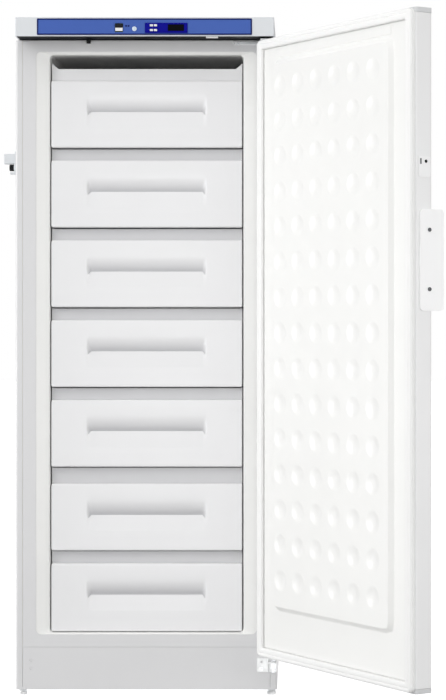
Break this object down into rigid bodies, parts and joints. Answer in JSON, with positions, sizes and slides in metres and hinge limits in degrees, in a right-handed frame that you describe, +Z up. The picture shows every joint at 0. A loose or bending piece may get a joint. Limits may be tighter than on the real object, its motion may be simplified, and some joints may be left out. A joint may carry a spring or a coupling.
{
  "type": "upright laboratory freezer",
  "caption": "Upright laboratory freezer: insulated cabinet with stacked pull-out drawers behind one hinged door, and a control console on top.",
  "frame": {"origin": "on the floor, under the middle of the bounding box of the whole freezer with its door open at rest", "axes": "+Z up, -Y out of the cabinet's front, +X towards the side that carries the door hinges"},
  "size_m": [0.9747, 1.121, 1.548],
  "materials": {
    "painted_steel": "satin",
    "liner_plastic": "satin",
    "white_plastic": "satin",
    "drawer_plastic": "gloss",
    "insulation_foam": "matte",
    "gasket_rubber": "matte",
    "grey_plastic": "matte",
    "zinc_steel": "satin",
    "evaporator_metal": "matte",
    "black_paint": "gloss",
    "copper_tube": "satin",
    "black_plastic": "satin",
    "blue_plastic": "satin",
    "navy_plastic": "gloss",
    "circuit_board": "matte"
  },
  "bodies": {
    "cabinet": {"cabinet_shell": "painted_steel", "rear_panel": "painted_steel", "cabinet_foam": "insulation_foam", "cabinet_liner": "liner_plastic", "front_frame": "painted_steel", "kick_plate": "painted_steel", "base_tray": "zinc_steel", "compressor": "black_paint", "condenser": "copper_tube", "rear_grille": "painted_steel", "power_inlet": "black_plastic", "evaporator": "evaporator_metal", "foot_front_left": "zinc_steel", "foot_front_right": "zinc_steel", "foot_rear_left": "zinc_steel", "foot_rear_right": "zinc_steel", "control_housing": "white_plastic", "fascia": "blue_plastic", "display_module": "navy_plastic", "display_window": "black_plastic", "control_board": "circuit_board", "hinge_bracket_lower": "zinc_steel", "hinge_bracket_upper": "zinc_steel", "hinge_pin_lower": "zinc_steel", "hinge_pin_upper": "zinc_steel", "hinge_screw_lower": "zinc_steel", "door_sensor": "black_plastic", "lock_plate": "white_plastic", "lock_barrel": "black_plastic"},
    "door": {"door_skin": "painted_steel", "door_foam": "insulation_foam", "door_liner": "liner_plastic", "door_gasket": "gasket_rubber", "door_cap_bottom": "grey_plastic", "door_cap_top": "grey_plastic", "door_handle": "white_plastic", "handle_screw_lower": "zinc_steel", "handle_screw_upper": "zinc_steel", "lock_keeper": "white_plastic"},
    "drawer_1": {"drawer_tub_1": "drawer_plastic", "drawer_front_1": "drawer_plastic"},
    "drawer_2": {"drawer_tub_2": "drawer_plastic", "drawer_front_2": "drawer_plastic"},
    "drawer_3": {"drawer_tub_3": "drawer_plastic", "drawer_front_3": "drawer_plastic"},
    "drawer_4": {"drawer_tub_4": "drawer_plastic", "drawer_front_4": "drawer_plastic"},
    "drawer_5": {"drawer_tub_5": "drawer_plastic", "drawer_front_5": "drawer_plastic"},
    "drawer_6": {"drawer_tub_6": "drawer_plastic", "drawer_front_6": "drawer_plastic"},
    "drawer_7": {"drawer_tub_7": "drawer_plastic", "drawer_front_7": "drawer_plastic"},
    "menu_button_1": {"menu_button_1": "white_plastic"},
    "menu_button_2": {"menu_button_2": "white_plastic"},
    "menu_button_3": {"menu_button_3": "white_plastic"},
    "menu_button_4": {"menu_button_4": "white_plastic"},
    "power_switch": {"power_switch": "black_plastic"},
    "key_switch": {"key_switch": "zinc_steel"},
    "lock_lever": {"lock_lever": "white_plastic"}
  },
  "joints": [
    {"name": "door_hinge", "type": "hinge", "parent": "cabinet", "child": "door", "pos_m": [0.1332, -0.045, 0.8], "axis": [0, 0, 1], "range_deg": [-123, 12]},
    {"name": "drawer_slide_1", "type": "slide", "parent": "cabinet", "child": "drawer_1", "axis": [0, -1, 0], "range_m": [0, 0.33]},
    {"name": "drawer_slide_2", "type": "slide", "parent": "cabinet", "child": "drawer_2", "axis": [0, -1, 0], "range_m": [0, 0.33]},
    {"name": "drawer_slide_3", "type": "slide", "parent": "cabinet", "child": "drawer_3", "axis": [0, -1, 0], "range_m": [0, 0.33]},
    {"name": "drawer_slide_4", "type": "slide", "parent": "cabinet", "child": "drawer_4", "axis": [0, -1, 0], "range_m": [0, 0.33]},
    {"name": "drawer_slide_5", "type": "slide", "parent": "cabinet", "child": "drawer_5", "axis": [0, -1, 0], "range_m": [0, 0.33]},
    {"name": "drawer_slide_6", "type": "slide", "parent": "cabinet", "child": "drawer_6", "axis": [0, -1, 0], "range_m": [0, 0.33]},
    {"name": "drawer_slide_7", "type": "slide", "parent": "cabinet", "child": "drawer_7", "axis": [0, -1, 0], "range_m": [0, 0.17]},
    {"name": "menu_button_press_1", "type": "slide", "parent": "cabinet", "child": "menu_button_1", "axis": [0, 1, 0], "range_m": [0, 0.0012], "stiffness_N_per_m": 300},
    {"name": "menu_button_press_2", "type": "slide", "parent": "cabinet", "child": "menu_button_2", "axis": [0, 1, 0], "range_m": [0, 0.0012], "stiffness_N_per_m": 300},
    {"name": "menu_button_press_3", "type": "slide", "parent": "cabinet", "child": "menu_button_3", "axis": [0, 1, 0], "range_m": [0, 0.0012], "stiffness_N_per_m": 300},
    {"name": "menu_button_press_4", "type": "slide", "parent": "cabinet", "child": "menu_button_4", "axis": [0, 1, 0], "range_m": [0, 0.0012], "stiffness_N_per_m": 300},
    {"name": "power_rocker", "type": "hinge", "parent": "cabinet", "child": "power_switch", "pos_m": [-0.2167, -0.0535, 1.524], "axis": [1, 0, 0], "range_deg": [-12, 0]},
    {"name": "key_turn", "type": "hinge", "parent": "cabinet", "child": "key_switch", "pos_m": [-0.1815, -0.0565, 1.5213], "axis": [0, 1, 0], "range_deg": [0, 90]},
    {"name": "lock_turn", "type": "hinge", "parent": "cabinet", "child": "lock_lever", "pos_m": [-0.4708, 0.0295, 1.213], "axis": [1, 0, 0], "range_deg": [0, 90]}
  ]
}
